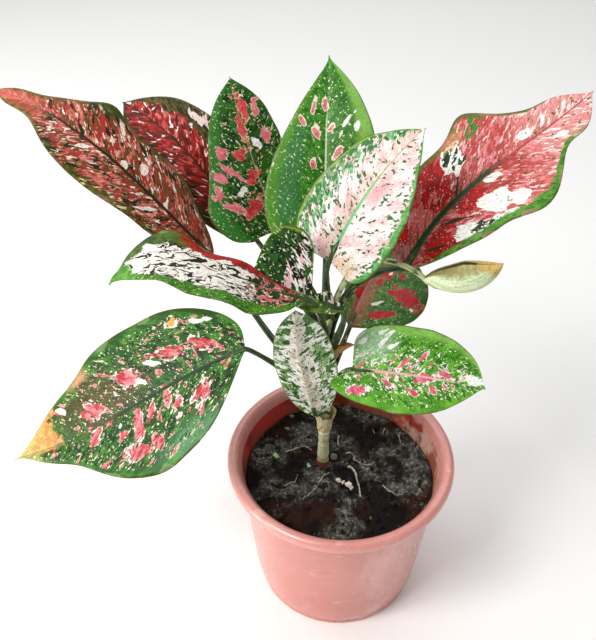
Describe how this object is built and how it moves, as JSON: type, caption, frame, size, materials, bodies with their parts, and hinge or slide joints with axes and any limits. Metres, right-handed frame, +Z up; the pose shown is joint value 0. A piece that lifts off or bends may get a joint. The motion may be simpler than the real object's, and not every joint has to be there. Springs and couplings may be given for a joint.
{
  "type": "potted Chinese evergreen",
  "caption": "Potted Chinese evergreen: a bare cane with broad variegated leaves on slim petioles and a rolled flower bract, in soil in a round plastic pot.",
  "frame": {"origin": "centre of the pot's flat foot, where it stands on the surface", "axes": "+Z up along the pot's axis; +X to the plant's right and -Y to its front, which the camera faces"},
  "size_m": [0.3489, 0.1841, 0.3786],
  "materials": {
    "pot_plastic": "smooth salmon pink plastic with a soft sheen",
    "soil": "rough, crumbly, nearly black potting soil",
    "cane": "satin pale green cane with ringed leaf scars",
    "leaf_green": "satin leaf, green with pink and white flecks",
    "leaf_dark": "satin leaf, dark green with pink and cream flecks",
    "leaf_red": "satin leaf, brick red and coral with a green margin",
    "leaf_red_spotted": "satin leaf, plain green with red blotches",
    "leaf_white": "satin leaf, cream white with green speckles and margin",
    "leaf_pale": "satin leaf, pale pink and white with green flecks",
    "flower_bract": "smooth pale cream-green bract"
  },
  "bodies": {
    "root": {"pot": "pot_plastic", "soil": "soil", "stem": "cane", "leaf_front": "leaf_white", "leaf_right_front": "leaf_green", "leaf_left_lower": "leaf_green", "leaf_right_middle": "leaf_red_spotted", "leaf_left_upper": "leaf_red", "leaf_left_middle": "leaf_white", "leaf_front_small": "leaf_dark", "leaf_left_back": "leaf_red", "leaf_right_upper": "leaf_red", "leaf_top": "leaf_dark", "leaf_left_upright": "leaf_dark", "leaf_pale": "leaf_pale", "flower": "flower_bract"}
  },
  "joints": []
}
